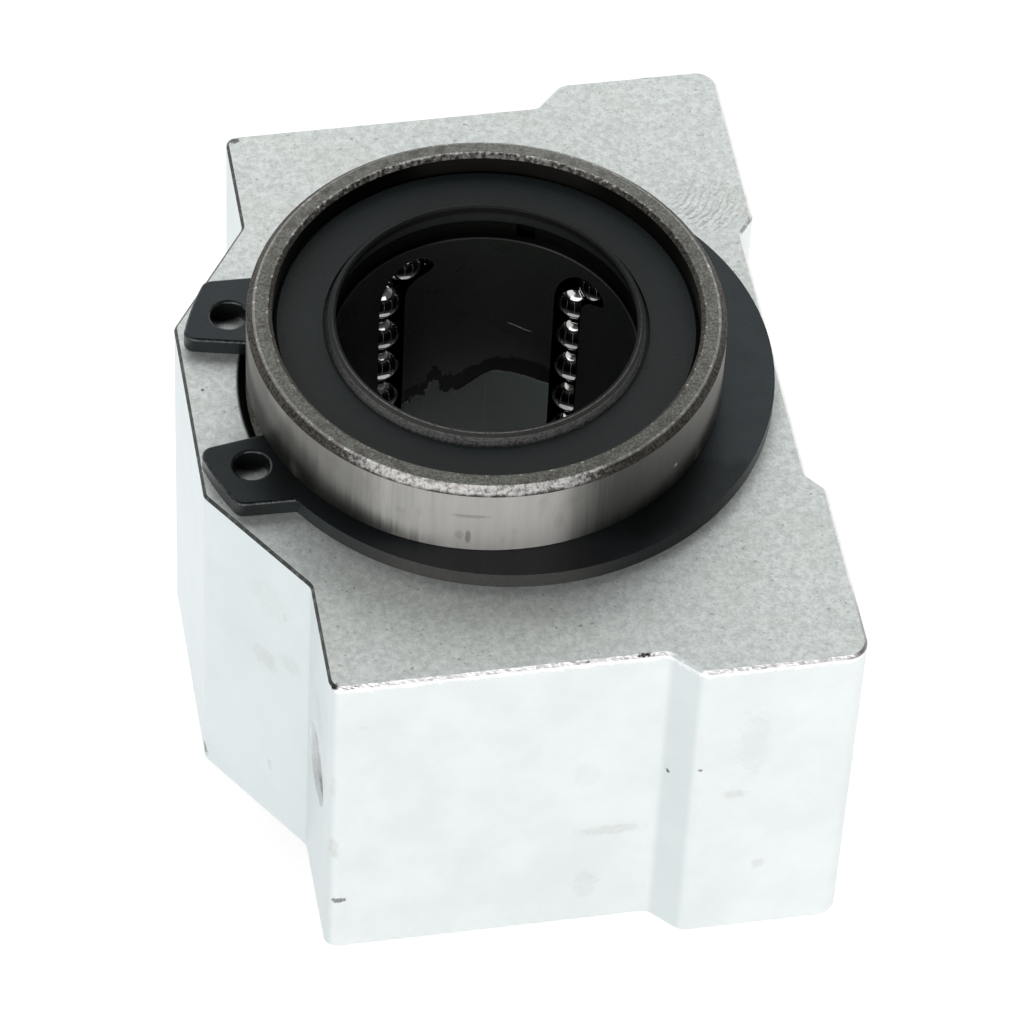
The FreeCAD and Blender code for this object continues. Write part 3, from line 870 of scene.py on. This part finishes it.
def add_floor():
    half = FLOOR_SIZE / 2
    height = cad_box[0].z - FLOOR_GAP
    mesh = bpy.data.meshes.new("floor")
    corners = [(-half, -half), (half, -half), (half, half), (-half, half)]
    mesh.from_pydata([(x, y, height) for x, y in corners], [], [(0, 1, 2, 3)])
    mesh.materials.append(white_floor())
    floor = bpy.data.objects.new("floor", mesh)
    bpy.context.scene.collection.objects.link(floor)


def soft_box(g, direction, elevation, azimuth, half, side_fade, low, high, edge_fade):
    """Mask of one soft box in the sky."""
    turn = math.radians(azimuth)
    ahead = g.facing(direction, (math.cos(turn), math.sin(turn), 0.0))
    aside = g.facing(direction, (-math.sin(turn), math.cos(turn), 0.0))
    off = g.size(g.bearing(aside, ahead))
    return g.times(
        g.step(off, half + side_fade, half), g.band(elevation, low, high, edge_fade))


def add_world():
    """A dim room with wide soft boxes behind, left and in front."""
    world = bpy.data.worlds.new("studio")
    world.use_nodes = True
    g = Graph(world.node_tree)
    direction = g.add("ShaderNodeTexCoord").outputs["Generated"]
    elevation = g.times(g.math("ARCSINE", g.parts(direction)[Z_AXIS]), DEGREES)
    strength = g.level(g.step(elevation, *SKY_DIMS), SKY_BASE, SKY_TOP)
    for *shape, gain in SOFT_BOXES:
        box = soft_box(g, direction, elevation, *shape)
        strength = g.plus(g.times(box, gain), strength)
    background = g.add("ShaderNodeBackground")
    g.put(background.inputs["Color"], WHITE)
    g.put(background.inputs["Strength"], strength)
    output = g.add("ShaderNodeOutputWorld")
    g.put(output.inputs["Surface"], background.outputs[0])
    bpy.context.scene.world = world


# ---- the scene -----------------------------------------------------------------
def dress(name, material):
    """Gives a CAD node its finish."""
    for slot in nodes[name].material_slots:
        slot.material = material


add_camera()
add_world()
add_floor()

dress("housing", aluminium())
dress("bearing_sleeve", sleeve_steel())
dress("ball_cage", cage_resin())
rubber = seal_rubber()
clip = circlip_steel()
ring = ring_steel()
for end in ("upper_", "lower_"):
    dress(end + "seal", rubber)
    dress(end + "circlip", clip)
    dress(end + "end_ring", ring)
balls = ball_steel()
for name in nodes:
    if name.endswith("_balls"):
        dress(name, balls)

bpy.context.scene.view_settings.view_transform = "Standard"
